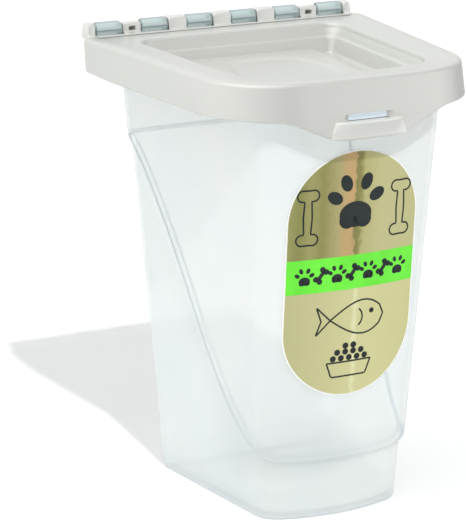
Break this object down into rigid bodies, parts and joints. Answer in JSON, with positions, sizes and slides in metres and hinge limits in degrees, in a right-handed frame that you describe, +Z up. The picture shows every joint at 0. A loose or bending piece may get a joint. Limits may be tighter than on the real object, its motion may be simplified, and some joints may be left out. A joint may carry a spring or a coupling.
{
  "type": "flip-top pet food bin",
  "caption": "Tapered clear storage bin with a hinged pearl lid, a flexing latch tab and a rounded foil label on its bowed front.",
  "frame": {"origin": "on the ground, under the middle of the bin's outline", "axes": "+Z up, the labelled front faces -Y, the hinge runs along X at the back"},
  "size_m": [0.1892, 0.1986, 0.2694],
  "materials": {
    "clear_plastic": "clear polypropylene, lightly frosted",
    "pearl_plastic": "pearl white, satin",
    "pin_plastic": "white, satin",
    "gold_foil": "gold metallised foil, brushed gloss",
    "green_band": "bright green metallic print",
    "dark_ink": "dark print, satin"
  },
  "bodies": {
    "container": {"container_shell": "clear_plastic", "container_rim": "clear_plastic", "hinge_knuckles": "clear_plastic", "catch_lug": "clear_plastic", "front_label": "gold_foil", "label_band": "green_band"},
    "lid": {"lid_panel": "pearl_plastic", "lid_skirt": "pearl_plastic", "lid_pan": "pearl_plastic", "hinge_blocks": "pearl_plastic", "hinge_windows": "pearl_plastic", "hinge_ears": "pearl_plastic", "hinge_pins": "pin_plastic"},
    "latch": {"latch_tab": "pearl_plastic", "thumb_lip": "pearl_plastic"}
  },
  "joints": [
    {"name": "lid_hinge", "type": "hinge", "parent": "container", "child": "lid", "pos_m": [0, 0.0945, 0.2644], "axis": [-1, 0, 0], "range_deg": [0, 110]},
    {"name": "latch_flex", "type": "hinge", "parent": "lid", "child": "latch", "pos_m": [0, -0.0937, 0.2424], "axis": [-1, 0, 0], "range_deg": [0, 12], "stiffness_Nm_per_rad": 0.7}
  ]
}
